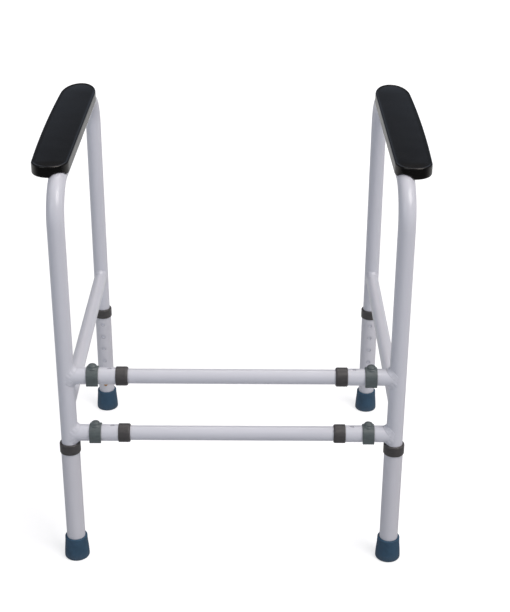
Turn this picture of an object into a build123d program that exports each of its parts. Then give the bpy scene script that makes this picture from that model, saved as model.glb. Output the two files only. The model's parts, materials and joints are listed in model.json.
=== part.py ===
from build123d import *
import math
import os

# Toilet safety frame: two tubular side frames joined by two telescopic cross tubes.
# +X is to the right, +Y runs from the cross tubes towards the open side, +Z is up.
# The origin is on the floor, midway between the four feet. All sizes are in millimetres.

os.makedirs("parts", exist_ok=True)

SIDES = (("left", -1), ("right", 1))
ENDS = (("front", -1), ("rear", 1))
LEVELS = ("upper", "lower")

# Layout of the frame
leg_spacing_x = 493.0
leg_spacing_y = 466.0
rail_z = 619.5
bend_radius = 57.0
cross_z = {"upper": 324.0, "lower": 226.0}
brace_z = 274.5

# Tube sizes
frame_od = 25.4
frame_wall = 1.5
cross_od = 22.2
cross_wall = 1.2
brace_od = 22.2
brace_wall = 1.2
extension_od = 28.6
extension_wall = 1.4

# Height adjustment
height_steps = 5
height_pitch = 25.0
lowest_hole_z = 55.5
extension_hole_d = 7.6
frame_hole_d = 7.2
frame_leg_bottom_z = 30.0

# Width adjustment, measured inboard from the leg axis
peg_offset = 40.3
width_pitch = 25.0
peg_hole_d = 6.6
stub_length = 87.0
cross_end_gap = 2.0

# Snap clips on the stubs
clip_width = 17.8
clip_wall = 2.5
clip_bore_gap = 0.15
clip_arm_drop = 10.6
clip_corner = 1.8
peg_d = 6.0
peg_depth = 7.0
knob_base_d = 16.4
knob_neck_d = 12.0
knob_height = 5.0

# Guide collars
collar_start = 75.0
collar_end = 92.8
collar_od = 28.6
collar_taper = 5.5
collar_lip = 0.6
collar_round = 0.8
collar_gap = 0.05
guide_gap = 0.2
leg_collar_bottom_z = 193.4
leg_collar_top_z = 210.0
leg_collar_od = 31.8
leg_collar_lip = 6.0

# Rubber feet
foot_height = 38.0
foot_sole_d = 33.8
foot_corner = 2.6
foot_mouth_d = 35.0
foot_mouth_round = 1.4
foot_floor = 8.0
tread_depth = 1.2
tread_width = 1.4
tread_radii = (6.5, 10.5)
washer_t = 1.2
washer_hole_d = 8.0

# Snap buttons and their V springs
button_d = 6.8
button_proud = 2.2
button_round = 1.8
spring_t = 0.8
spring_width = 6.5
spring_length = 44.0
spring_seat = 9.2
spring_back = 10.0

# Arm pads
pad_top_z = 640.0
pad_bottom_z = 622.5
pad_inner_x = 231.0
pad_front_x = 284.8
pad_mid_x = 289.2
pad_rear_x = 288.6
pad_front_y = -202.0
pad_rear_y = 215.0
pad_rear_run = 60.0
pad_groove_gap = 0.3
pad_top_round = 2.0
pad_bottom_round = 3.0

# Pad fixings
core_x = 251.0
core_width = 26.0
core_length = 340.0
core_t = 3.0
core_bottom_z = 633.6
screw_ys = (-130.0, 0.0, 130.0)
screw_d = 5.0
screw_hole_d = 5.6
screw_head_d = 9.0
screw_head_t = 2.6
screw_tip_z = 636.2
drive_d = 3.2
drive_depth = 1.4

# Welds
bead_r = 3.0
bead_proud = 1.0
weld_gap = 0.03
seam_steps = 8

# Derived sizes
leg_x = leg_spacing_x / 2
leg_y = leg_spacing_y / 2
frame_r = frame_od / 2
extension_r = extension_od / 2
extension_bore_r = extension_r - extension_wall
extension_bottom_z = foot_floor + washer_t
extension_top_z = leg_collar_top_z - leg_collar_lip
button_z = lowest_hole_z
hole_zs = [lowest_hole_z + height_pitch * step for step in range(height_steps + 1)]
cross_half = leg_x - frame_r - cross_end_gap


def save(piece, name):
    """Label a finished piece and write it as its own STEP file."""
    piece.part.label = name
    export_step(piece.part, f"parts/{name}.step")


def leg_plane(sx, ey, z=0.0):
    """Horizontal plane centred on one leg."""
    return Plane(origin=(sx * leg_x, ey * leg_y, z))


def leg_section(sx, ey):
    """Vertical plane through one leg: local x is outward from the leg's axis, local y is up."""
    return Plane(origin=(sx * leg_x, ey * leg_y, 0), x_dir=(1, 0, 0), z_dir=(0, -1, 0))


def hole_row_plane(sx, ey):
    """Plane through one leg's axis facing the middle of the side frame: local x is up."""
    return Plane(origin=(sx * leg_x, ey * leg_y, 0), x_dir=(0, 0, 1), z_dir=(0, -ey, 0))


def spring_plane(sx, ey):
    """Side-on plane of one leg: local x points the way the button does, local y is up."""
    return Plane(origin=(sx * leg_x, ey * leg_y, 0), x_dir=(0, -ey, 0), z_dir=(-ey, 0, 0))


def stub_plane(sx, offset, z):
    """Upright plane square to the cross tubes, facing inboard, offset from the leg's axis."""
    origin = (sx * (leg_x - offset), -leg_y, z)
    return Plane(origin=origin, x_dir=(0, sx, 0), z_dir=(-sx, 0, 0))


def stub_section(sx, z):
    """Upright plane along one cross tube: local x runs inboard from the leg's axis, local y is up."""
    return Plane(origin=(sx * leg_x, -leg_y, z), x_dir=(-sx, 0, 0), z_dir=(0, sx, 0))


def half_bead(centre, across, out, branch_r, lift):
    """Upper (lift 1) or lower (lift -1) half of the weld where a branch tube meets a leg."""
    side_reach = math.sqrt(frame_r**2 - branch_r**2)
    width = 2 * (branch_r + bead_proud)
    points = []
    for step in range(seam_steps + 1):
        angle = math.pi * step / seam_steps
        span = branch_r * math.cos(angle)
        rise = Vector(0, 0, lift * branch_r * math.sin(angle))
        points.append(centre + across * span + out * math.sqrt(frame_r**2 - span**2) + rise)
    with BuildPart() as bead:
        with BuildLine() as seam:
            Spline(*points)
        with BuildSketch(seam.line ^ 0):
            Circle(bead_r)
        sweep(path=seam.line)
        with Locations(*[centre + across * branch_r * turn + out * side_reach for turn in (1, -1)]):
            Sphere(bead_r)
        with BuildSketch(Plane(origin=centre, x_dir=across, z_dir=(0, 0, 1))):
            Rectangle(width, 4 * frame_r)
        extrude(amount=lift * 2 * frame_r, mode=Mode.INTERSECT)
        with BuildSketch(Plane(origin=centre)):
            Circle(frame_r + weld_gap)
        extrude(amount=2 * frame_r, both=True, mode=Mode.SUBTRACT)
        with BuildSketch(Plane(origin=centre, x_dir=across, z_dir=out)):
            Circle(branch_r + weld_gap)
        extrude(amount=2 * frame_r, mode=Mode.SUBTRACT)
    return bead.part


# Side hoops: one bent tube each, with the button holes and the pad screw holes
for side, sx in SIDES:
    with BuildPart() as side_hoop:
        with BuildLine(Plane.YZ.offset(sx * leg_x)) as hoop_line:
            FilletPolyline(
                (-leg_y, frame_leg_bottom_z),
                (-leg_y, rail_z),
                (leg_y, rail_z),
                (leg_y, frame_leg_bottom_z),
                radius=bend_radius,
            )
        with BuildSketch(leg_plane(sx, -1, frame_leg_bottom_z)):
            Circle(frame_r)
            Circle(frame_r - frame_wall, mode=Mode.SUBTRACT)
        sweep(path=hoop_line.line)
        for ey in (-1, 1):
            with BuildSketch(hole_row_plane(sx, ey)):
                with Locations((button_z, 0)):
                    Circle(frame_hole_d / 2)
            extrude(amount=frame_r + 1, mode=Mode.SUBTRACT)
        with BuildSketch(Plane(origin=(sx * leg_x, 0, rail_z))):
            with Locations(*[(0, y) for y in screw_ys]):
                Circle(screw_hole_d / 2)
        extrude(amount=frame_r + 1, both=True, mode=Mode.SUBTRACT)
    save(side_hoop, f"{side}_side_hoop")

# Side braces: one straight tube each, coped to the legs it is welded between
for side, sx in SIDES:
    with BuildPart() as side_brace:
        with BuildSketch(Plane(origin=(sx * leg_x, 0, brace_z), z_dir=(0, 1, 0))):
            Circle(brace_od / 2)
            Circle(brace_od / 2 - brace_wall, mode=Mode.SUBTRACT)
        extrude(amount=leg_y, both=True)
        for ey in (-1, 1):
            with BuildSketch(leg_plane(sx, ey, brace_z)):
                Circle(frame_r + weld_gap)
            extrude(amount=brace_od, both=True, mode=Mode.SUBTRACT)
    save(side_brace, f"{side}_side_brace")

# Stubs: short sockets welded to the front legs, which hold the cross tubes
for side, sx in SIDES:
    for level in LEVELS:
        with BuildPart() as stub:
            with BuildSketch(stub_plane(sx, 0, cross_z[level])):
                Circle(frame_r)
                Circle(frame_r - frame_wall, mode=Mode.SUBTRACT)
            extrude(amount=stub_length)
            with BuildSketch(leg_plane(sx, -1, cross_z[level])):
                Circle(frame_r + weld_gap)
            extrude(amount=frame_od, both=True, mode=Mode.SUBTRACT)
            with BuildSketch(leg_plane(sx, -1, cross_z[level])):
                with Locations(*[(-sx * (peg_offset + width_pitch * n), 0) for n in range(2)]):
                    Circle(peg_hole_d / 2)
            extrude(amount=frame_od, mode=Mode.SUBTRACT)
        save(stub, f"{level}_{side}_stub")

# Weld beads, grouped by side frame: the left group mirrors the right one
joints = []
for level in LEVELS:
    stub_root = Vector(leg_x, -leg_y, cross_z[level])
    joints.append((stub_root, Vector(0, 1, 0), Vector(-1, 0, 0), frame_r))
for ey in (-1, 1):
    brace_root = Vector(leg_x, ey * leg_y, brace_z)
    joints.append((brace_root, Vector(1, 0, 0), Vector(0, -ey, 0), brace_od / 2))
with BuildPart() as right_weld_beads:
    add([half_bead(*joint, lift) for joint in joints for lift in (1, -1)])
save(right_weld_beads, "right_weld_beads")
with BuildPart() as left_weld_beads:
    mirror(right_weld_beads.part, about=Plane.YZ)
save(left_weld_beads, "left_weld_beads")

# Cross tubes: each slides in a stub at either end and has one peg hole per end
for level in LEVELS:
    with BuildPart() as cross_tube:
        with BuildSketch(Plane(origin=(0, -leg_y, cross_z[level]), z_dir=(1, 0, 0))):
            Circle(cross_od / 2)
            Circle(cross_od / 2 - cross_wall, mode=Mode.SUBTRACT)
        extrude(amount=cross_half, both=True)
        with BuildSketch(Plane(origin=(0, -leg_y, cross_z[level]))):
            with Locations((leg_x - peg_offset, 0), (peg_offset - leg_x, 0)):
                Circle(peg_hole_d / 2)
        extrude(amount=cross_od, mode=Mode.SUBTRACT)
    save(cross_tube, f"{level}_cross_tube")

# Guide collars on the stub mouths: they cap the stub and taper down to the cross tube
for side, sx in SIDES:
    for level in LEVELS:
        grip_r = frame_r + collar_gap
        guide_r = cross_od / 2 + guide_gap
        collar_r = collar_od / 2
        with BuildPart() as stub_collar:
            with BuildSketch(stub_section(sx, cross_z[level])):
                with BuildLine():
                    Line((collar_start, grip_r), (collar_start, collar_r - collar_round))
                    JernArc(
                        start=(collar_start, collar_r - collar_round),
                        tangent=(0, 1),
                        radius=collar_round,
                        arc_size=-90,
                    )
                    Line((collar_start + collar_round, collar_r), (collar_end - collar_taper, collar_r))
                    Spline(
                        (collar_end - collar_taper, collar_r),
                        (collar_end, guide_r + collar_lip),
                        tangents=((1, 0), (0, -1)),
                    )
                    Line((collar_end, guide_r + collar_lip), (collar_end, guide_r))
                    Line((collar_end, guide_r), (stub_length, guide_r))
                    Line((stub_length, guide_r), (stub_length, grip_r))
                    Line((stub_length, grip_r), (collar_start, grip_r))
                make_face()
            revolve(axis=Axis((0, -leg_y, cross_z[level]), (1, 0, 0)))
        save(stub_collar, f"{level}_{side}_stub_collar")

# Snap clips: a saddle with two arms, a locking peg inside and a finger knob on top
for side, sx in SIDES:
    for level in LEVELS:
        bore_r = frame_r + clip_bore_gap
        shell_r = frame_r + clip_wall
        peg_x = sx * (leg_x - peg_offset)
        middle = Plane(origin=(peg_x, -leg_y, cross_z[level]), x_dir=(0, 1, 0), z_dir=(1, 0, 0))
        knob_section = Plane(origin=(peg_x, -leg_y, cross_z[level]), x_dir=(1, 0, 0), z_dir=(0, -1, 0))
        knob_foot = math.sqrt(shell_r**2 - (knob_base_d / 2) ** 2) - 0.5
        with BuildPart() as clip:
            with BuildSketch(middle):
                Circle(shell_r)
                with Locations((0, -clip_arm_drop / 2)):
                    Rectangle(2 * shell_r, clip_arm_drop)
                with Locations((0, -clip_arm_drop - shell_r / 2)):
                    Rectangle(2 * shell_r, shell_r, mode=Mode.SUBTRACT)
            extrude(amount=clip_width / 2, both=True)
            fillet(clip.edges().filter_by(Axis.Y).group_by(Axis.Z)[0], clip_corner)
            with BuildSketch(knob_section):
                with BuildLine():
                    Line((0, knob_foot), (knob_base_d / 2, knob_foot))
                    Line((knob_base_d / 2, knob_foot), (knob_base_d / 2, shell_r - 2.0))
                    Spline(
                        (knob_base_d / 2, shell_r - 2.0),
                        (knob_neck_d / 2, shell_r + knob_height * 0.42),
                        (0, shell_r + knob_height),
                        tangents=((-0.6, 1), (-1, 0)),
                    )
                    Line((0, shell_r + knob_height), (0, knob_foot))
                make_face()
            revolve(axis=Axis((peg_x, -leg_y, 0), (0, 0, 1)))
            with BuildSketch(middle):
                Circle(bore_r)
                with Locations((0, -shell_r)):
                    Rectangle(2 * bore_r, 2 * shell_r)
            extrude(amount=clip_width, both=True, mode=Mode.SUBTRACT)
            with BuildSketch(Plane(origin=(peg_x, -leg_y, cross_z[level] + frame_r - peg_depth))):
                Circle(peg_d / 2)
            extrude(amount=peg_depth + clip_wall / 2)
            fillet(clip.edges().filter_by(GeomType.CIRCLE).sort_by(Axis.Z)[0], 1.0)
        save(clip, f"{level}_{side}_clip")

# Leg extensions: outer tubes with a row of adjustment holes facing the middle of the side
for side, sx in SIDES:
    for end, ey in ENDS:
        with BuildPart() as leg_extension:
            with BuildSketch(leg_plane(sx, ey, extension_bottom_z)):
                Circle(extension_r)
                Circle(extension_bore_r, mode=Mode.SUBTRACT)
            extrude(amount=extension_top_z - extension_bottom_z)
            with BuildSketch(hole_row_plane(sx, ey)):
                with Locations(*[(z, 0) for z in hole_zs]):
                    Circle(extension_hole_d / 2)
            extrude(amount=extension_r + 1, mode=Mode.SUBTRACT)
        save(leg_extension, f"{end}_{side}_leg_extension")

# Guide collars on the mouths of the leg extensions
for side, sx in SIDES:
    for end, ey in ENDS:
        with BuildPart() as leg_collar:
            with BuildSketch(leg_plane(sx, ey, leg_collar_bottom_z)):
                Circle(leg_collar_od / 2)
            extrude(amount=leg_collar_top_z - leg_collar_bottom_z)
            fillet(leg_collar.faces().sort_by(Axis.Z)[-1].edges(), 2.0)
            fillet(leg_collar.faces().sort_by(Axis.Z)[0].edges(), 1.2)
            with BuildSketch(leg_plane(sx, ey, leg_collar_bottom_z)):
                Circle(extension_r + collar_gap)
            extrude(amount=extension_top_z - leg_collar_bottom_z, mode=Mode.SUBTRACT)
            with BuildSketch(leg_plane(sx, ey, leg_collar_bottom_z)):
                Circle(frame_r + guide_gap)
            extrude(amount=leg_collar_top_z - leg_collar_bottom_z, mode=Mode.SUBTRACT)
        save(leg_collar, f"{end}_{side}_leg_collar")

# Snap buttons: domed pins that lock each leg extension to its leg
for side, sx in SIDES:
    for end, ey in ENDS:
        button_base = spring_seat + spring_t / 2
        button_top = extension_r + button_proud
        with BuildPart() as snap_button:
            with BuildSketch(hole_row_plane(sx, ey).offset(button_base)):
                with Locations((button_z, 0)):
                    Circle(button_d / 2)
            extrude(amount=button_top - button_base)
            fillet(snap_button.edges().sort_by(Axis.Y, reverse=ey > 0)[-1], button_round)
        save(snap_button, f"{end}_{side}_snap_button")

# V springs: bent leaf springs inside the legs, which push the buttons out
for side, sx in SIDES:
    for end, ey in ENDS:
        with BuildPart() as button_spring:
            with BuildSketch(spring_plane(sx, ey)):
                with BuildLine() as leaf:
                    FilletPolyline(
                        (spring_seat, button_z - 5),
                        (spring_seat, button_z + 5),
                        (0, button_z + spring_length),
                        (-spring_back, button_z),
                        radius=3.0,
                    )
                trace(leaf.line, line_width=spring_t)
            extrude(amount=spring_width / 2, both=True)
        save(button_spring, f"{end}_{side}_button_spring")

# Rubber feet: flared ferrules with a shallow ring tread in the sole
for side, sx in SIDES:
    for end, ey in ENDS:
        sole_r = foot_sole_d / 2
        widest_r = sole_r + foot_corner
        mouth_r = foot_mouth_d / 2
        socket_r = extension_r + collar_gap
        with BuildPart() as rubber_foot:
            with BuildSketch(leg_section(sx, ey)):
                with BuildLine():
                    Line((0, 0), (sole_r, 0))
                    JernArc(start=(sole_r, 0), tangent=(1, 0), radius=foot_corner, arc_size=90)
                    Spline(
                        (widest_r, foot_corner),
                        (mouth_r, foot_height - foot_mouth_round),
                        tangents=((0, 1), (0, 1)),
                    )
                    JernArc(
                        start=(mouth_r, foot_height - foot_mouth_round),
                        tangent=(0, 1),
                        radius=foot_mouth_round,
                        arc_size=90,
                    )
                    Line((mouth_r - foot_mouth_round, foot_height), (socket_r, foot_height))
                    Line((socket_r, foot_height), (socket_r, foot_floor))
                    Line((socket_r, foot_floor), (0, foot_floor))
                    Line((0, foot_floor), (0, 0))
                make_face()
            revolve(axis=Axis((sx * leg_x, ey * leg_y, 0), (0, 0, 1)))
            for tread_r in tread_radii:
                with BuildSketch(leg_plane(sx, ey)):
                    Circle(tread_r + tread_width)
                    Circle(tread_r, mode=Mode.SUBTRACT)
                extrude(amount=tread_depth, mode=Mode.SUBTRACT)
        save(rubber_foot, f"{end}_{side}_rubber_foot")

# Steel washers in the feet, which stop the tube ends cutting through the rubber
for side, sx in SIDES:
    for end, ey in ENDS:
        with BuildPart() as foot_washer:
            with BuildSketch(leg_plane(sx, ey, foot_floor)):
                Circle(extension_r - 0.1)
                Circle(washer_hole_d / 2, mode=Mode.SUBTRACT)
            extrude(amount=washer_t)
        save(foot_washer, f"{end}_{side}_foot_washer")

# Pad cores: stiff insert boards moulded inside the arm pads, tapped for the screws
for side, sx in SIDES:
    with BuildPart() as pad_core:
        with BuildSketch(Plane(origin=(sx * core_x, 0, core_bottom_z))):
            SlotOverall(core_length, core_width, rotation=90)
            with Locations(*[(sx * (leg_x - core_x), y) for y in screw_ys]):
                Circle(screw_d / 2 + collar_gap, mode=Mode.SUBTRACT)
        extrude(amount=core_t)
    save(pad_core, f"{side}_pad_core")

# Arm pads: moulded foam with a grooved underside that sits on the rail
for side, sx in SIDES:
    front_r = (pad_front_x - pad_inner_x) / 2
    rear_r = (pad_rear_x - pad_inner_x) / 2
    front_centre_y = pad_front_y + front_r
    rear_centre_y = pad_rear_y - pad_rear_run
    with BuildPart() as arm_pad:
        with BuildSketch(Plane.XY.offset(pad_bottom_z)):
            with BuildLine():
                ThreePointArc(
                    (sx * pad_inner_x, front_centre_y),
                    (sx * (pad_inner_x + front_r), pad_front_y),
                    (sx * pad_front_x, front_centre_y),
                )
                ThreePointArc(
                    (sx * pad_front_x, front_centre_y),
                    (sx * pad_mid_x, (front_centre_y + rear_centre_y) / 2),
                    (sx * pad_rear_x, rear_centre_y),
                )
                EllipticalCenterArc(
                    (sx * (pad_inner_x + rear_r), rear_centre_y),
                    rear_r,
                    pad_rear_run,
                    start_angle=0,
                    arc_size=180,
                )
                Line((sx * pad_inner_x, rear_centre_y), (sx * pad_inner_x, front_centre_y))
            make_face()
        extrude(amount=pad_top_z - pad_bottom_z)
        fillet(arm_pad.faces().sort_by(Axis.Z)[-1].edges(), pad_top_round)
        fillet(arm_pad.faces().sort_by(Axis.Z)[0].edges(), pad_bottom_round)
        with BuildSketch(Plane(origin=(sx * leg_x, 0, rail_z), z_dir=(0, 1, 0))):
            Circle(frame_r + pad_groove_gap)
        extrude(amount=leg_y, both=True, mode=Mode.SUBTRACT)
        with BuildSketch(Plane(origin=(sx * core_x, 0, core_bottom_z))):
            SlotOverall(core_length, core_width, rotation=90)
        extrude(amount=core_t, mode=Mode.SUBTRACT)
        with BuildSketch(Plane(origin=(sx * leg_x, 0, rail_z))):
            with Locations(*[(0, y) for y in screw_ys]):
                Circle(screw_hole_d / 2)
        extrude(amount=screw_tip_z + 1 - rail_z, mode=Mode.SUBTRACT)
    save(arm_pad, f"{side}_arm_pad")

# Pad screws: three to a side, driven up through the rail into the pad core
for side, sx in SIDES:
    head_top_z = rail_z - frame_r - weld_gap
    with BuildPart() as pad_screws:
        with BuildSketch(Plane(origin=(sx * leg_x, 0, head_top_z - screw_head_t))):
            with Locations(*[(0, y) for y in screw_ys]):
                Circle(screw_head_d / 2)
        extrude(amount=screw_head_t)
        fillet(pad_screws.faces().group_by(Axis.Z)[0].edges(), 1.0)
        with BuildSketch(Plane(origin=(sx * leg_x, 0, head_top_z))):
            with Locations(*[(0, y) for y in screw_ys]):
                Circle(screw_d / 2)
        extrude(amount=screw_tip_z - head_top_z)
        with BuildSketch(Plane(origin=(sx * leg_x, 0, head_top_z - screw_head_t))):
            with Locations(*[(0, y) for y in screw_ys]):
                RegularPolygon(drive_d / 2, 6)
        extrude(amount=drive_depth, mode=Mode.SUBTRACT)
    save(pad_screws, f"{side}_pad_screws")
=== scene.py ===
import json
import math

import bmesh
import bpy
from mathutils import Matrix, Vector, noise

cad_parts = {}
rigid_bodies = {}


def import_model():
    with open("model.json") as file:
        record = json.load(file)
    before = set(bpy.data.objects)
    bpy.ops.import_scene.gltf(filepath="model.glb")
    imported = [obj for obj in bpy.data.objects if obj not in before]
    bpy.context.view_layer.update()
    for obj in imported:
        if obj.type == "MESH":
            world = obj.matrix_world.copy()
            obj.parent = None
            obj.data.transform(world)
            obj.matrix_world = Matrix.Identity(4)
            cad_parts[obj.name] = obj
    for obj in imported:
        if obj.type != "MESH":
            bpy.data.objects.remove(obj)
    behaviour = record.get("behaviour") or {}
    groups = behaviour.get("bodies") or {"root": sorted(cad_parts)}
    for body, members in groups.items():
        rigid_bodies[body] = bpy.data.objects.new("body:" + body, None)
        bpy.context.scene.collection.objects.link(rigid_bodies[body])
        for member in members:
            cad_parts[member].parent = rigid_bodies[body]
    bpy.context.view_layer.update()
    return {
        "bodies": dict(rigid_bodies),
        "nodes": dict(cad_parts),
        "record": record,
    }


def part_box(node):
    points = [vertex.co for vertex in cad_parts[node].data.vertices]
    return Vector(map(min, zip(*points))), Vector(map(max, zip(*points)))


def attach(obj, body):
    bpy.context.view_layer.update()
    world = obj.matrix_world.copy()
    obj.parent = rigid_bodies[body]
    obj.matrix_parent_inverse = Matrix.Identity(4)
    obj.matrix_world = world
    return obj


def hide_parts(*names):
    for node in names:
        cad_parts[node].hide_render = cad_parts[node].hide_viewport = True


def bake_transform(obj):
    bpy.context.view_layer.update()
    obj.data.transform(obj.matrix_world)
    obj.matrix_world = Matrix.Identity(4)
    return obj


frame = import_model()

MM = 0.001
UP = Vector((0, 0, 1))
SIDES = (("left", -1), ("right", 1))
ENDS = (("front", -1), ("rear", 1))
LEVELS = ("upper", "lower")

# Camera: the viewing angle of someone standing in front of the cross tubes
CAMERA_PLACE = Vector((0.0325, -1.9183, 1.2589))
CAMERA_PITCH = 0.4521
CAMERA_YAW = 0.0008
CAMERA_ROLL = 0.0053
CAMERA_LENS = 76.31
CAMERA_SENSOR = 36.0
CAMERA_CLIP = (0.05, 100.0)

# Surroundings
DOME_HORIZON = (0.31, 0.36, 0.45)
DOME_MIDDLE = (0.030, 0.030, 0.032)
DOME_TOP = (0.49, 0.465, 0.465)
DOME_MIDDLE_HEIGHT = 0.37
FLOOR_HALF = 20.0
FLOOR_COLOUR = (0.62, 0.63, 0.65)
FLOOR_ROUGHNESS = 0.9
FLOOR_GLOW = 0.62
FLOOR_GLOW_SPAN = (1.0, 5.0)
FLOOR_SHEEN_FRONT = 0.10
FLOOR_SHEEN_BACK = 0.62
FLOOR_SHEEN_SPAN = (-0.6, 0.5)
LIGHT_AIM = Vector((0, 0, 0.35))
LIGHTS = (
    ("key", (3.6, -3.0, 6.2), (4.4, 4.4), 338.0, (1.0, 0.958, 0.93)),
    ("fill", (-4.2, -4.2, 3.2), (3.0, 3.0), 50.0, (0.86, 0.94, 1.0)),
    ("back", (0.8, 2.4, 5.6), (3.0, 2.4), 56.0, (1.0, 0.97, 0.95)),
)

# Finishes, as linear RGB: the base, a shade that mottles it and, for some, a worn or dusty tone
FRAME_WHITE = ((0.72, 0.732, 0.80), (0.69, 0.70, 0.77))
EXTENSION_WHITE = ((0.70, 0.703, 0.76), (0.67, 0.672, 0.73))
FOAM_BLACK = ((0.0016, 0.0016, 0.0018), (0.0028, 0.0028, 0.0030), (0.006, 0.0062, 0.0066))
CLIP_GREEN_GREY = ((0.12, 0.145, 0.148), (0.092, 0.112, 0.115), (0.21, 0.24, 0.24))
COLLAR_GREY = ((0.083, 0.079, 0.080), (0.062, 0.059, 0.060), (0.13, 0.125, 0.12))
CORE_GREY = ((0.10, 0.10, 0.10), (0.08, 0.08, 0.08), (0.15, 0.15, 0.15))
FOOT_BLUE = ((0.038, 0.094, 0.160), (0.030, 0.074, 0.128), (0.15, 0.16, 0.17))
BRASS = ((0.62, 0.33, 0.10), (0.48, 0.24, 0.07))
SPRING_STEEL = ((0.55, 0.55, 0.57), (0.42, 0.42, 0.44))
SCREW_STEEL = ((0.60, 0.60, 0.62), (0.46, 0.46, 0.48))
WASHER_STEEL = ((0.58, 0.58, 0.60), (0.44, 0.44, 0.46))
# Painted shade: a darker grey painted into the white paint in holes and seams, and how far from them it
# reaches
PAINT_CREVICE_SHADE = (0.30, 0.29, 0.30)
PAINT_CREVICE_SHADE_REACH = 1.5 * MM
PAINT_ROUGHNESS = 0.29
PAINT_COAT_ROUGHNESS = 0.10
FOOT_DUST_HEIGHT = 14.0 * MM

# Neutralises the blue of the surroundings in the sheen of the black foam
FOAM_SHEEN = (1.0, 0.95, 0.90, 1.0)

# Noise scale along each axis: a low value draws the grain out along that axis
EVEN_GRAIN = (1.0, 1.0, 1.0)
UPRIGHT_GRAIN = (1.0, 1.0, 0.1)
LENGTHWISE_GRAIN = (1.0, 0.2, 1.0)
FLOW_GRAIN = (1.0, 1.0, 2.5)

# Cosine between eased and true normals on a fully worn edge, and where wear starts
WEAR_SPAN = (0.90, 0.995)
# Openness to the surroundings of a full crevice, and of an open surface
CREVICE_SPAN = (0.45, 0.92)

# Arm pads: plan sizes, underside and rim, which is listed as (inset, drop) in millimetres
PAD_FRONT_WIDTH = 53.8 * MM
PAD_REAR_WIDTH = 57.6 * MM
PAD_REAR_RUN = 60.0 * MM
PAD_LENGTH_STEPS = 96
PAD_TURN_STEPS = 84
PAD_UNDER_RINGS = 34
PAD_TOP_RINGS = 12
PAD_GROOVE_GAP = 0.2 * MM
PAD_GROOVE_SOFTEN = 0.9 * MM
PAD_LOWER_ROUND = 3.0 * MM
PAD_ROUND_STEPS = 6
PAD_SIDE_HEIGHTS = (5.0 * MM, 7.5 * MM, 10.0 * MM, 12.5 * MM)
PAD_SIDE_SPAN = 13.0 * MM
PAD_SIDE_CLEARANCE = 2.0 * MM
PAD_WELD = 0.002 * MM
PAD_RIM = (
    (0.0, 2.4), (0.05, 1.6), (0.25, 0.95), (0.6, 0.45), (1.1, 0.12), (1.7, 0.0),
    (2.4, 0.14), (3.1, 0.42), (3.9, 0.64), (5.0, 0.74),
)
PAD_RIM_INSET = 5.0 * MM
PAD_RIM_SINK = 0.74 * MM
PAD_CROWN = 0.9 * MM
PAD_WAVER = 0.14 * MM
PAD_WAVER_SCALE = 22.0
HOOP_BEND_RADIUS = 57.0 * MM

# Weld beads
BEAD_TOE = 5.0 * MM
BEAD_FILL = 0.55
BEAD_SINK = 0.7 * MM
BEAD_STATIONS = 240
BEAD_PROFILE_STEPS = 8
BEAD_RIPPLES = 17
BEAD_RIPPLE_HEIGHT = 1.0 * MM
BEAD_RIPPLE_POWER = 0.8
BEAD_PHASE_DRIFT = 1.6
BEAD_PHASE_SCALE = 1.7
BEAD_TOE_DRIFT = 0.16
BEAD_TOE_SCALE = 2.3
BEAD_SIDE_SEED = 5
BEAD_ANGLE_STEP = 1e-3
BEAD_COLLAR_GAP = 0.2 * MM

# Snap clips; the skirt of the knob is listed as (radius, height above the shell) in millimetres
CLIP_VOXEL = 0.42 * MM
CLIP_BORE_GAP = 0.25 * MM
CLIP_EDGE_ROUND = 0.9 * MM
CLIP_BORE_CHAMFER = 0.3 * MM
CLIP_CROWN = 0.25 * MM
CLIP_ARM_STEPS = 8
CLIP_TURN_STEPS = 48
CLIP_ROUND_STEPS = 5
CLIP_TIP_TRIM = 0.6 * MM
CLIP_SMOOTHING = 0.5
CLIP_SMOOTH_PASSES = 2
LATHE_STEPS = 48
KNOB_RADIUS = 6.7 * MM
KNOB_DOME_START = 1.5 * MM
KNOB_DOME_STEPS = 8
KNOB_SKIRT = ((0.0, -2.4), (8.7, -2.6), (8.6, -1.2), (8.1, -0.4), (7.4, 0.1), (6.8, 0.45), (6.6, 0.9))
PEG_RADIUS = 2.9 * MM
PEG_TIP_RADIUS = 2.2 * MM
PEG_REACH = 6.8 * MM
PEG_TIP_LENGTH = 0.8 * MM
PEG_ROOT = 1.0 * MM

slot_of_node = {part["node"]: part["material_slot"] for part in frame["record"]["subparts"]}
body_of_node = {}
for body, members in frame["record"]["behaviour"]["bodies"].items():
    for member in members:
        body_of_node[member] = body


# ---------------------------------------------------------------- materials


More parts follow.
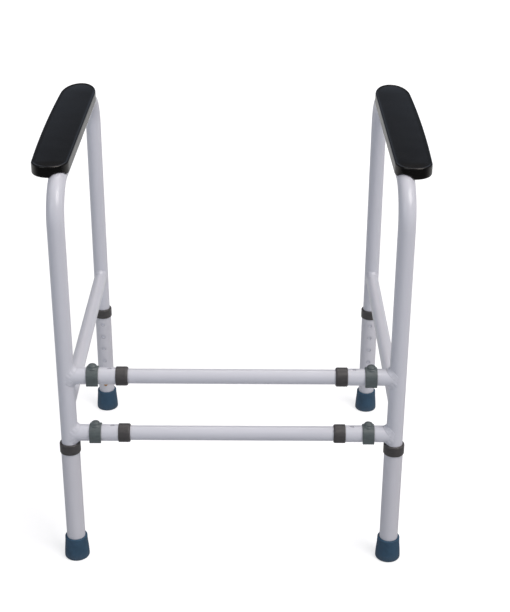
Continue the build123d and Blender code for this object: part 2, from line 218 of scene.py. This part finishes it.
class Nodes:
    """Builds one procedural material, with texture coordinates in metres of the object's own frame."""

    def __init__(self, name):
        self.material = bpy.data.materials.new(name)
        self.material.use_nodes = True
        self.tree = self.material.node_tree
        self.shader = self.tree.nodes["Principled BSDF"]
        self.place = self.tree.nodes.new("ShaderNodeTexCoord").outputs["Object"]

    def add(self, kind, **settings):
        node = self.tree.nodes.new(kind)
        for key, value in settings.items():
            setattr(node, key, value)
        return node

    def link(self, source, target):
        self.tree.links.new(source, target)

    def noise(self, scale, detail=3.0, rough=0.55, stretch=None):
        """Cloudy noise of about scale patches a metre."""
        node = self.add("ShaderNodeTexNoise")
        node.inputs["Scale"].default_value = scale
        node.inputs["Detail"].default_value = detail
        node.inputs["Roughness"].default_value = rough
        if stretch:
            mapping = self.add("ShaderNodeMapping")
            mapping.inputs["Scale"].default_value = stretch
            self.link(self.place, mapping.inputs["Vector"])
            self.link(mapping.outputs["Vector"], node.inputs["Vector"])
        else:
            self.link(self.place, node.inputs["Vector"])
        return node.outputs["Fac"]

    def cells(self, scale):
        """Pebbles, about scale a metre."""
        node = self.add("ShaderNodeTexVoronoi", feature="SMOOTH_F1")
        node.inputs["Scale"].default_value = scale
        node.inputs["Smoothness"].default_value = 0.6
        self.link(self.place, node.inputs["Vector"])
        return node.outputs["Distance"]

    def spread(self, factor, low, high, from_low=0.3, from_high=0.7):
        """Maps a value, such as a noise, onto a range."""
        node = self.add("ShaderNodeMapRange")
        node.inputs["From Min"].default_value = from_low
        node.inputs["From Max"].default_value = from_high
        node.inputs["To Min"].default_value = low
        node.inputs["To Max"].default_value = high
        self.link(factor, node.inputs["Value"])
        return node.outputs["Result"]

    def times(self, first, second):
        node = self.add("ShaderNodeMath", operation="MULTIPLY")
        self.link(first, node.inputs[0])
        self.link(second, node.inputs[1])
        return node.outputs["Value"]

    def mix(self, factor, low, high):
        """Mixes two colours, each an RGB triple or a socket."""
        node = self.add("ShaderNodeMix", data_type="RGBA")
        self.link(factor, node.inputs["Factor"])
        for socket, colour in ((node.inputs[6], low), (node.inputs[7], high)):
            if isinstance(colour, tuple):
                socket.default_value = (*colour, 1.0)
            else:
                self.link(colour, socket)
        return node.outputs[2]

    def rounded(self, radius):
        """Normals with sharp edges eased over a radius."""
        node = self.add("ShaderNodeBevel", samples=4)
        node.inputs["Radius"].default_value = radius
        return node.outputs["Normal"]

    def edge_wear(self, radius):
        """High on worn outer edges, low elsewhere, from the angle between eased and true normals."""
        geometry = self.add("ShaderNodeNewGeometry")
        dot = self.add("ShaderNodeVectorMath", operation="DOT_PRODUCT")
        self.link(self.rounded(radius), dot.inputs[0])
        self.link(geometry.outputs["True Normal"], dot.inputs[1])
        return self.spread(dot.outputs["Value"], 1.0, 0.0, *WEAR_SPAN)

    def crevice(self, reach, most):
        """A mask for painted shade: up to most in corners, holes and seams, zero on open surfaces."""
        node = self.add("ShaderNodeAmbientOcclusion", samples=8)
        node.inputs["Distance"].default_value = reach
        return self.spread(node.outputs["AO"], most, 0.0, *CREVICE_SPAN)

    def bump(self, height, strength, depth, below=None):
        """Normals raised by a height pattern, over the normals of a coarser layer if there is one."""
        node = self.add("ShaderNodeBump")
        node.inputs["Strength"].default_value = strength
        node.inputs["Distance"].default_value = depth
        self.link(height, node.inputs["Height"])
        if below:
            self.link(below, node.inputs["Normal"])
        return node.outputs["Normal"]

    def finish(self, colour, normal, **values):
        """Feeds the shader; each further value is a number, a colour or a socket."""
        self.link(colour, self.shader.inputs["Base Color"])
        self.link(normal, self.shader.inputs["Normal"])
        for name, value in values.items():
            target = self.shader.inputs[name.replace("_", " ")]
            if isinstance(value, (float, tuple)):
                target.default_value = value
            else:
                self.link(value, target)
        return self.material


def powder_coat(name, base, shade):
    """Gloss white powder coat: orange peel, sparse specks, and painted shade in holes and seams."""
    n = Nodes(name)
    mottle = n.spread(n.noise(scale=5.0, detail=1.0), 0.0, 0.5)
    specks = n.spread(n.noise(scale=2600.0, detail=1.0), 0.0, 0.25, from_low=0.64, from_high=0.8)
    colour = n.mix(specks, n.mix(mottle, base, shade), shade)
    # Painted shade: the paint turns darker grey where ambient occlusion finds holes, seams and joins between
    # parts
    colour = n.mix(n.crevice(PAINT_CREVICE_SHADE_REACH, most=0.5), colour, PAINT_CREVICE_SHADE)
    gloss = n.spread(n.noise(scale=60.0, detail=2.0), 0.07, 0.17)
    peel = n.bump(n.noise(scale=900.0, detail=1.0, rough=0.4), strength=0.06, depth=0.02 * MM)
    return n.finish(
        colour, peel, Roughness=PAINT_ROUGHNESS, Coat_Weight=gloss, Coat_Roughness=PAINT_COAT_ROUGHNESS
    )


def foam_skin(name, base, shade, worn):
    """Black integral-skin foam: satin, with a fine pebble grain and rubbed edges."""
    n = Nodes(name)
    colour = n.mix(n.spread(n.noise(scale=28.0, detail=5.0), 0.0, 1.0), base, shade)
    colour = n.mix(n.edge_wear(1.5 * MM), colour, worn)
    roughness = n.spread(n.noise(scale=45.0, detail=4.0), 0.21, 0.27)
    grain = n.bump(n.cells(1500.0), strength=0.12, depth=0.05 * MM)
    skin = n.bump(n.noise(scale=700.0), strength=0.10, depth=0.04 * MM, below=grain)
    return n.finish(colour, skin, Roughness=roughness, Specular_IOR_Level=0.47, Specular_Tint=FOAM_SHEEN)


def moulded_plastic(name, base, shade, worn):
    """Moulded plastic with faint flow marks, a fine spark texture and paler rubbed edges."""
    n = Nodes(name)
    flow = n.noise(scale=120.0, detail=5.0, rough=0.6, stretch=FLOW_GRAIN)
    colour = n.mix(n.spread(flow, 0.0, 1.0), base, shade)
    colour = n.mix(n.edge_wear(0.8 * MM), colour, worn)
    roughness = n.spread(n.noise(scale=300.0), 0.36, 0.48)
    sparks = n.noise(scale=2200.0, detail=2.0)
    texture = n.bump(sparks, strength=0.25, depth=0.04 * MM, below=n.rounded(0.5 * MM))
    return n.finish(colour, texture, Roughness=roughness)


def moulded_rubber(name, base, shade, dusty):
    """Matt rubber with a bloom of dust that thickens towards the sole."""
    n = Nodes(name)
    split = n.add("ShaderNodeSeparateXYZ")
    n.link(n.place, split.inputs["Vector"])
    low_down = n.spread(split.outputs["Z"], 1.0, 0.0, from_low=0.0, from_high=FOOT_DUST_HEIGHT)
    patchy = n.times(low_down, n.spread(n.noise(scale=340.0, detail=5.0), 0.0, 0.45))
    colour = n.mix(n.spread(n.noise(scale=90.0, detail=4.0), 0.0, 1.0), base, shade)
    colour = n.mix(patchy, colour, dusty)
    roughness = n.spread(n.noise(scale=200.0), 0.46, 0.60)
    texture = n.bump(n.noise(scale=1100.0, detail=4.0), strength=0.30, depth=0.07 * MM)
    return n.finish(colour, texture, Roughness=roughness, Specular_IOR_Level=0.4)


def bare_metal(name, base, shade, roughness_span, grain):
    """Plated or bright metal with a drawn grain and small dull patches."""
    n = Nodes(name)
    colour = n.mix(n.spread(n.noise(scale=240.0, detail=4.0), 0.0, 1.0), base, shade)
    roughness = n.spread(n.noise(scale=500.0), *roughness_span)
    drawn = n.bump(n.noise(scale=900.0, rough=0.6, stretch=grain), strength=0.25, depth=0.03 * MM)
    return n.finish(colour, drawn, Roughness=roughness, Metallic=1.0)


def build_materials():
    """One material for each of the record's material slots."""
    finishes = {
        "frame_paint": (powder_coat, *FRAME_WHITE),
        "extension_paint": (powder_coat, *EXTENSION_WHITE),
        "pad_foam": (foam_skin, *FOAM_BLACK),
        "clip_plastic": (moulded_plastic, *CLIP_GREEN_GREY),
        "collar_plastic": (moulded_plastic, *COLLAR_GREY),
        "pad_core_plastic": (moulded_plastic, *CORE_GREY),
        "foot_rubber": (moulded_rubber, *FOOT_BLUE),
        "button_brass": (bare_metal, *BRASS, (0.22, 0.38), EVEN_GRAIN),
        "spring_steel": (bare_metal, *SPRING_STEEL, (0.2, 0.35), UPRIGHT_GRAIN),
        "screw_steel": (bare_metal, *SCREW_STEEL, (0.25, 0.4), EVEN_GRAIN),
        "washer_steel": (bare_metal, *WASHER_STEEL, (0.3, 0.45), LENGTHWISE_GRAIN),
    }
    return {slot: make(slot, *look) for slot, (make, *look) in finishes.items()}


# ---------------------------------------------------------------- mesh helpers


def add_piece(name, mesh, node):
    """Links a finished mesh as a piece that stands for a CAD node, on that node's body."""
    piece = bpy.data.objects.new(name, mesh)
    bpy.context.scene.collection.objects.link(piece)
    slot = slot_of_node[node]
    mesh.materials.clear()
    mesh.materials.append(materials[slot])
    mesh.shade_smooth()
    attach(piece, body_of_node[node])
    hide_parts(node)
    return piece


def mesh_from(name, points, faces, weld=1e-7):
    """A closed mesh with outward normals."""
    bm = bmesh.new()
    verts = [bm.verts.new(p) for p in points]
    for face in faces:
        bm.faces.new([verts[i] for i in face])
    bmesh.ops.remove_doubles(bm, verts=bm.verts, dist=weld)
    bmesh.ops.dissolve_degenerate(bm, edges=bm.edges, dist=weld)
    bmesh.ops.recalc_face_normals(bm, faces=bm.faces)
    mesh = bpy.data.meshes.new(name)
    bm.to_mesh(mesh)
    bm.free()
    return mesh


def ring_faces(rings, count, closed=False):
    """Quads between successive rings of points, and back to the first ring if closed."""
    faces = []
    for ring in range(rings if closed else rings - 1):
        after = (ring + 1) % rings
        for i in range(count):
            j = (i + 1) % count
            faces.append((ring * count + i, ring * count + j, after * count + j, after * count + i))
    return faces


def append_part(points, faces, more_points, more_faces):
    """Adds a part's points and faces to the lists of a larger mesh."""
    start = len(points)
    points += more_points
    faces += [tuple(start + i for i in face) for face in more_faces]


def hoop_sizes(side):
    """Tube radius, leg x, leg y at each end, and rail height of one side hoop."""
    low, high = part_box(f"{side}_side_hoop")
    radius = (high.x - low.x) / 2
    leg_y = {"front": low.y + radius, "rear": high.y - radius}
    return radius, (low.x + high.x) / 2, leg_y, high.z - radius


# ---------------------------------------------------------------- arm pads


def pad_outline(low, high):
    """The pad's plan from its inner edge as (outward, along, spine outward, spine along) points."""
    bulge = (high.x - low.x) - (PAD_FRONT_WIDTH + PAD_REAR_WIDTH) / 2
    front_half, rear_half = PAD_FRONT_WIDTH / 2, PAD_REAR_WIDTH / 2
    front = low.y + front_half
    rear = high.y - PAD_REAR_RUN
    outline = []
    for i in range(PAD_TURN_STEPS):
        turn = math.pi * (1 + i / PAD_TURN_STEPS)
        outward = front_half * (1 + math.cos(turn))
        outline.append((outward, front + front_half * math.sin(turn), front_half, front))
    for i in range(PAD_LENGTH_STEPS):
        share = i / PAD_LENGTH_STEPS
        width = PAD_FRONT_WIDTH + (PAD_REAR_WIDTH - PAD_FRONT_WIDTH) * share
        along = front + (rear - front) * share
        outline.append((width + 4 * bulge * share * (1 - share), along, width / 2, along))
    for i in range(PAD_TURN_STEPS):
        turn = math.pi * i / PAD_TURN_STEPS
        outward = rear_half * (1 + math.cos(turn))
        outline.append((outward, rear + PAD_REAR_RUN * math.sin(turn), rear_half, rear))
    for i in range(PAD_LENGTH_STEPS):
        share = 1 - i / PAD_LENGTH_STEPS
        width = PAD_FRONT_WIDTH + (PAD_REAR_WIDTH - PAD_FRONT_WIDTH) * share
        outline.append((0.0, front + (rear - front) * share, width / 2, front + (rear - front) * share))
    return outline


def pad_rings():
    """Rings as (inset, height, from_top): some hang from the top, the rest rise from the underside."""
    rings = []
    for i in range(PAD_ROUND_STEPS + 1):
        turn = math.pi / 2 * i / PAD_ROUND_STEPS
        rings.append((PAD_LOWER_ROUND * (1 - math.sin(turn)), PAD_LOWER_ROUND * (1 - math.cos(turn)), False))
    rings += [(0.0, height, False) for height in PAD_SIDE_HEIGHTS]
    rings += [(inset * MM, -drop * MM, True) for inset, drop in PAD_RIM]
    return rings


def build_pad(side, sx):
    """A moulded foam pad: an underside grooved for the bent rail, rounded sides, raised rim, crowned top."""
    node = f"{side}_arm_pad"
    low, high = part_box(node)
    rail_radius, rail_x, leg_y, rail_z = hoop_sizes(side)
    inner_x = low.x if sx > 0 else -high.x
    rail_offset = abs(rail_x) - inner_x
    groove_radius = rail_radius + PAD_GROOVE_GAP
    straight = {end: leg_y[end] - ey * HOOP_BEND_RADIUS for end, ey in ENDS}
    outline = pad_outline(low, high)
    points = []

    def place(outward, along, height):
        waver = noise.noise(Vector((outward, along, height)) * PAD_WAVER_SCALE) * PAD_WAVER
        points.append(Vector((sx * (inner_x + outward), along, height + waver)))

    def toward_spine(entry, inset):
        outward, along, spine_out, spine_along = entry
        share = min(inset / math.hypot(spine_out - outward, spine_along - along), 1.0)
        return outward + (spine_out - outward) * share, along + (spine_along - along) * share

    def spine_gap(entry):
        return math.hypot(entry[2] - entry[0], entry[3] - entry[1])

    def underside(outward, along):
        """Height of the underside: flat, with a softened groove that follows the rail and its bends."""
        reach = math.sqrt(max(groove_radius**2 - (outward - rail_offset) ** 2, 0.0))
        past = max(straight["front"] - along, along - straight["rear"], 0.0)
        drop = (HOOP_BEND_RADIUS + reach) - math.sqrt(max((HOOP_BEND_RADIUS + reach) ** 2 - past**2, 0.0))
        rise = rail_z + reach - drop - low.z
        eased = math.hypot(rise, PAD_GROOVE_SOFTEN)
        return low.z + 0.5 * (rise + eased) - 0.5 * PAD_GROOVE_SOFTEN**2 / eased

    for i in range(PAD_UNDER_RINGS):
        for entry in outline:
            gap = spine_gap(entry)
            outward, along = toward_spine(entry, gap + (PAD_LOWER_ROUND - gap) * i / PAD_UNDER_RINGS)
            place(outward, along, underside(outward, along))
    edge_rings = pad_rings()
    for inset, height, from_top in edge_rings:
        for entry in outline:
            outward, along = toward_spine(entry, inset)
            under = underside(outward, along)
            squeeze = min(1.0, (high.z - PAD_RIM_SINK - PAD_SIDE_CLEARANCE - under) / PAD_SIDE_SPAN)
            place(outward, along, high.z + height if from_top else under + height * squeeze)
    for i in range(1, PAD_TOP_RINGS + 1):
        share = i / PAD_TOP_RINGS
        rise = PAD_CROWN * (1 - (1 - share) ** 2) - PAD_RIM_SINK
        for entry in outline:
            gap = spine_gap(entry)
            outward, along = toward_spine(entry, PAD_RIM_INSET + (gap - PAD_RIM_INSET) * share)
            place(outward, along, high.z + rise)
    rings = PAD_UNDER_RINGS + len(edge_rings) + PAD_TOP_RINGS
    name = f"{side}_arm_pad_skin"
    mesh = mesh_from(name, points, ring_faces(rings, len(outline)), weld=PAD_WELD)
    add_piece(name, mesh, node)


# ---------------------------------------------------------------- weld beads


def bead_rings(centre, across, out, branch_radius, leg_radius, lowest, seed):
    """The rippled bead round a branch tube that meets an upright leg, as rings of points along its seam."""

    def seam(angle):
        span = branch_radius * math.cos(angle)
        reach = math.sqrt(max(leg_radius**2 - span**2, 0.0))
        return across * span + UP * branch_radius * math.sin(angle) + out * reach

    rings = []
    for i in range(BEAD_STATIONS):
        angle = math.tau * (i + 0.5) / BEAD_STATIONS
        point = seam(angle)
        tangent = (seam(angle + BEAD_ANGLE_STEP) - seam(angle - BEAD_ANGLE_STEP)).normalized()
        leg_normal = (point - UP * point.dot(UP)).normalized()
        branch_normal = (point - out * point.dot(out)).normalized()
        leg_way = tangent.cross(leg_normal).normalized()
        branch_way = tangent.cross(branch_normal).normalized()
        if leg_way.dot(branch_normal) < 0:
            leg_way = -leg_way
        if branch_way.dot(leg_way) > 0:
            branch_way = -branch_way
        bisector = (leg_normal + branch_normal).normalized()
        round_seam = Vector((math.cos(angle), math.sin(angle), seed))
        phase = BEAD_RIPPLES * angle + BEAD_PHASE_DRIFT * noise.noise(round_seam * BEAD_PHASE_SCALE)
        ripple = BEAD_RIPPLE_HEIGHT * (abs(math.sin(phase / 2)) ** BEAD_RIPPLE_POWER - 0.5)
        toe = BEAD_TOE * (1 + BEAD_TOE_DRIFT * noise.noise(round_seam * BEAD_TOE_SCALE))
        leg_toe = point + leg_way * toe
        flat = math.hypot(leg_toe.x, leg_toe.y)
        leg_toe = Vector((leg_toe.x * leg_radius / flat, leg_toe.y * leg_radius / flat, leg_toe.z))
        leg_toe.z = max(leg_toe.z, lowest - centre.z)
        branch_toe = point + branch_way * toe
        radial = branch_toe - out * branch_toe.dot(out)
        branch_toe = out * branch_toe.dot(out) + radial.normalized() * branch_radius
        crest = point.lerp((leg_toe + branch_toe) / 2, BEAD_FILL) + bisector * ripple
        ring = []
        for step in range(BEAD_PROFILE_STEPS + 1):
            share = step / BEAD_PROFILE_STEPS
            ring.append(
                leg_toe * (1 - share) ** 2 + crest * 2 * share * (1 - share) + branch_toe * share**2
            )
        ring.append(branch_toe - bisector * BEAD_SINK)
        ring.append(leg_toe - bisector * BEAD_SINK)
        rings.append([centre + p for p in ring])
    return rings


def build_beads(side, sx):
    """The beads of one side: round both stubs on the front leg, and round both ends of the brace."""
    node = f"{side}_weld_beads"
    leg_radius, leg_x, leg_y, _ = hoop_sizes(side)
    brace_low, brace_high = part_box(f"{side}_side_brace")
    brace_radius = (brace_high.x - brace_low.x) / 2
    brace_z = (brace_low.z + brace_high.z) / 2
    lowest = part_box(f"front_{side}_leg_collar")[1].z + BEAD_COLLAR_GAP
    seams = []
    for level in LEVELS:
        low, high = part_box(f"{level}_{side}_stub")
        root = Vector((leg_x, leg_y["front"], (low.z + high.z) / 2))
        seams.append((root, Vector((0, 1, 0)), Vector((-sx, 0, 0)), leg_radius))
    for end, ey in ENDS:
        root = Vector((leg_x, leg_y[end], brace_z))
        seams.append((root, Vector((1, 0, 0)), Vector((0, -ey, 0)), brace_radius))
    points, faces = [], []
    for seed, (root, across, out, branch_radius) in enumerate(seams):
        side_seed = seed + BEAD_SIDE_SEED * sx
        rings = bead_rings(root, across, out, branch_radius, leg_radius, lowest, side_seed)
        bead = [point for ring in rings for point in ring]
        append_part(points, faces, bead, ring_faces(len(rings), len(rings[0]), closed=True))
    name = f"{side}_weld_bead_ripples"
    add_piece(name, mesh_from(name, points, faces), node)


# ---------------------------------------------------------------- snap clips


def lathe(profile, origin):
    """A closed surface turned about the vertical through origin, from (radius, height) points."""
    points = []
    for i in range(LATHE_STEPS):
        turn = math.tau * i / LATHE_STEPS
        for radius, height in profile:
            points.append(origin + Vector((radius * math.cos(turn), radius * math.sin(turn), height)))
    return points, ring_faces(LATHE_STEPS, len(profile), closed=True)


def clip_band(centre, width, bore_radius, shell_radius, drop):
    """The saddle of a clip: a rounded strip that runs up one arm, over the tube and down the other."""
    tip = drop - CLIP_TIP_TRIM
    path = []
    for i in range(CLIP_ARM_STEPS + 1):
        path.append((Vector((0, -1, 0)), UP * tip * (i / CLIP_ARM_STEPS - 1)))
    for i in range(1, CLIP_TURN_STEPS):
        turn = math.pi * (1 - i / CLIP_TURN_STEPS)
        path.append((Vector((0, math.cos(turn), math.sin(turn))), Vector()))
    for i in range(CLIP_ARM_STEPS + 1):
        path.append((Vector((0, 1, 0)), UP * -tip * i / CLIP_ARM_STEPS))
    half = width / 2
    corner = half - CLIP_EDGE_ROUND
    section = []
    for corner_x, start in ((corner, 0.0), (-corner, math.pi / 2)):
        for i in range(CLIP_ROUND_STEPS + 1):
            turn = start + math.pi / 2 * i / CLIP_ROUND_STEPS
            radius = shell_radius + CLIP_EDGE_ROUND * (math.sin(turn) - 1)
            section.append((corner_x + CLIP_EDGE_ROUND * math.cos(turn), radius))
    section += [(-half, bore_radius + CLIP_BORE_CHAMFER), (-half + CLIP_BORE_CHAMFER, bore_radius)]
    section += [(half - CLIP_BORE_CHAMFER, bore_radius), (half, bore_radius + CLIP_BORE_CHAMFER)]
    points = []
    for away, shift in path:
        for x, radius in section:
            outer = radius > (bore_radius + shell_radius) / 2
            crown = CLIP_CROWN * (1 - (x / half) ** 2) if outer else 0.0
            points.append(centre + shift + away * (radius + crown) + Vector((x, 0, 0)))
    count = len(section)
    faces = ring_faces(len(path), count)
    faces.append(tuple(range(count)))
    faces.append(tuple(range((len(path) - 1) * count, len(path) * count)))
    return points, faces


def build_clip(level, side):
    """A snap clip: saddle, finger knob and locking peg, fused into one moulding."""
    node = f"{level}_{side}_clip"
    low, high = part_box(node)
    stub_low, stub_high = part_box(f"{level}_{side}_stub")
    tube_radius = (stub_high.z - stub_low.z) / 2
    centre = Vector(((low.x + high.x) / 2, (low.y + high.y) / 2, (stub_low.z + stub_high.z) / 2))
    shell_radius = (high.y - low.y) / 2
    band_drop = centre.z - low.z
    points, faces = clip_band(centre, high.x - low.x, tube_radius + CLIP_BORE_GAP, shell_radius, band_drop)
    knob = [(radius * MM, shell_radius + height * MM) for radius, height in KNOB_SKIRT]
    dome_base = shell_radius + KNOB_DOME_START
    dome_height = high.z - centre.z - dome_base
    for i in range(KNOB_DOME_STEPS + 1):
        turn = math.pi / 2 * i / KNOB_DOME_STEPS
        knob.append((KNOB_RADIUS * math.cos(turn), dome_base + dome_height * math.sin(turn)))
    tip = tube_radius - PEG_REACH
    root = shell_radius - PEG_ROOT
    shoulder = tip + PEG_TIP_LENGTH
    peg = [(0.0, tip), (PEG_TIP_RADIUS, tip), (PEG_RADIUS, shoulder), (PEG_RADIUS, root), (0.0, root)]
    for profile in (knob, peg):
        append_part(points, faces, *lathe(profile, centre))
    name = f"{node}_shell"
    piece = add_piece(name, mesh_from(name, points, faces), node)
    remesh = piece.modifiers.new("fuse", "REMESH")
    remesh.mode = "VOXEL"
    remesh.voxel_size = CLIP_VOXEL
    soften = piece.modifiers.new("soften", "SMOOTH")
    soften.factor = CLIP_SMOOTHING
    soften.iterations = CLIP_SMOOTH_PASSES
    graph = bpy.context.evaluated_depsgraph_get()
    fused = bpy.data.meshes.new_from_object(piece.evaluated_get(graph))
    piece.modifiers.clear()
    piece.data = fused
    fused.shade_smooth()


# ---------------------------------------------------------------- button springs


def build_spring(end, side):
    """A button's V spring, copied from its CAD node as a piece of its own, on no body; in the real spring
    one arm stays against the tube while the other moves with the button.
    """
    node = f"{end}_{side}_button_spring"
    spring = bpy.data.objects.new(f"{node}_flexing", frame["nodes"][node].data.copy())
    bpy.context.scene.collection.objects.link(spring)
    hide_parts(node)
    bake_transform(spring)


# ---------------------------------------------------------------- stage


def build_floor():
    """A wide pale floor under the lowest foot: near white to the camera, darker in front in reflections."""
    bm = bmesh.new()
    bmesh.ops.create_grid(bm, x_segments=2, y_segments=2, size=FLOOR_HALF)
    mesh = bpy.data.meshes.new("studio_floor")
    bm.to_mesh(mesh)
    bm.free()
    floor = bpy.data.objects.new("studio_floor", mesh)
    bpy.context.scene.collection.objects.link(floor)
    n = Nodes("studio_floor")
    n.shader.inputs["Base Color"].default_value = (*FLOOR_COLOUR, 1)
    n.shader.inputs["Roughness"].default_value = FLOOR_ROUGHNESS
    n.shader.inputs["Specular IOR Level"].default_value = 0.0
    n.shader.inputs["Emission Color"].default_value = (1, 1, 1, 1)
    path = n.add("ShaderNodeLightPath")
    away = n.add("ShaderNodeVectorMath", operation="LENGTH")
    n.link(n.place, away.inputs[0])
    glow = n.spread(away.outputs["Value"], FLOOR_GLOW, 1.0, *FLOOR_GLOW_SPAN)
    n.link(n.times(path.outputs["Is Camera Ray"], glow), n.shader.inputs["Emission Strength"])
    split = n.add("ShaderNodeSeparateXYZ")
    n.link(n.place, split.inputs["Vector"])
    sheen = n.add("ShaderNodeEmission")
    shine = n.spread(split.outputs["Y"], FLOOR_SHEEN_FRONT, FLOOR_SHEEN_BACK, *FLOOR_SHEEN_SPAN)
    n.link(shine, sheen.inputs["Strength"])
    blend = n.add("ShaderNodeMixShader")
    n.link(path.outputs["Is Glossy Ray"], blend.inputs["Fac"])
    n.link(n.shader.outputs["BSDF"], blend.inputs[1])
    n.link(sheen.outputs["Emission"], blend.inputs[2])
    n.link(blend.outputs["Shader"], n.tree.nodes["Material Output"].inputs["Surface"])
    mesh.materials.append(n.material)
    # The floor's height is that of the lowest leg body, which is zero at rest
    lowest = floor.driver_add("location", 2).driver
    lowest.type = "MIN"
    for body, empty in frame["bodies"].items():
        if body.endswith("_leg"):
            leg = lowest.variables.new()
            leg.type = "TRANSFORMS"
            leg.targets[0].id = empty
            leg.targets[0].transform_type = "LOC_Z"


def build_world():
    """Soft studio surroundings: white to the camera, a graded dome to the object."""
    world = bpy.data.worlds.new("studio")
    bpy.context.scene.world = world
    world.use_nodes = True
    tree = world.node_tree
    background = tree.nodes["Background"]
    place = tree.nodes.new("ShaderNodeTexCoord")
    split = tree.nodes.new("ShaderNodeSeparateXYZ")
    ramp = tree.nodes.new("ShaderNodeValToRGB")
    tree.links.new(place.outputs["Generated"], split.inputs["Vector"])
    tree.links.new(split.outputs["Z"], ramp.inputs["Fac"])
    stops = ramp.color_ramp.elements
    stops[0].position, stops[0].color = 0.0, (*DOME_HORIZON, 1)
    stops[1].position, stops[1].color = 1.0, (*DOME_TOP, 1)
    stops.new(DOME_MIDDLE_HEIGHT).color = (*DOME_MIDDLE, 1)
    path = tree.nodes.new("ShaderNodeLightPath")
    mix = tree.nodes.new("ShaderNodeMix")
    mix.data_type = "RGBA"
    tree.links.new(path.outputs["Is Camera Ray"], mix.inputs["Factor"])
    tree.links.new(ramp.outputs["Color"], mix.inputs[6])
    mix.inputs[7].default_value = (1, 1, 1, 1)
    tree.links.new(mix.outputs[2], background.inputs["Color"])


def build_lights():
    """Soft rectangular lamps, all aimed at the middle of the object."""
    for name, place, size, power, colour in LIGHTS:
        data = bpy.data.lights.new(name, "AREA")
        data.shape = "RECTANGLE"
        data.size, data.size_y = size
        data.energy = power
        data.color = colour
        lamp = bpy.data.objects.new(name, data)
        lamp.location = place
        lamp.rotation_euler = (LIGHT_AIM - Vector(place)).to_track_quat("-Z", "Y").to_euler()
        bpy.context.scene.collection.objects.link(lamp)


def build_camera():
    """The camera at its place, turned down by its pitch and slightly aside."""
    data = bpy.data.cameras.new("camera")
    data.lens = CAMERA_LENS
    data.sensor_width = CAMERA_SENSOR
    data.clip_start, data.clip_end = CAMERA_CLIP
    camera = bpy.data.objects.new("camera", data)
    turn = Matrix.Rotation(-CAMERA_YAW, 4, "Z") @ Matrix.Rotation(math.pi / 2 - CAMERA_PITCH, 4, "X")
    camera.matrix_world = Matrix.Translation(CAMERA_PLACE) @ turn @ Matrix.Rotation(CAMERA_ROLL, 4, "Z")
    bpy.context.scene.collection.objects.link(camera)
    bpy.context.scene.camera = camera


materials = build_materials()
for node, piece in frame["nodes"].items():
    piece.data.materials.clear()
    piece.data.materials.append(materials[slot_of_node[node]])

for side, sx in SIDES:
    build_pad(side, sx)
    build_beads(side, sx)
    for end, ey in ENDS:
        build_spring(end, side)
    for level in LEVELS:
        build_clip(level, side)

build_floor()
build_world()
build_lights()
build_camera()
bpy.context.scene.view_settings.view_transform = "Standard"
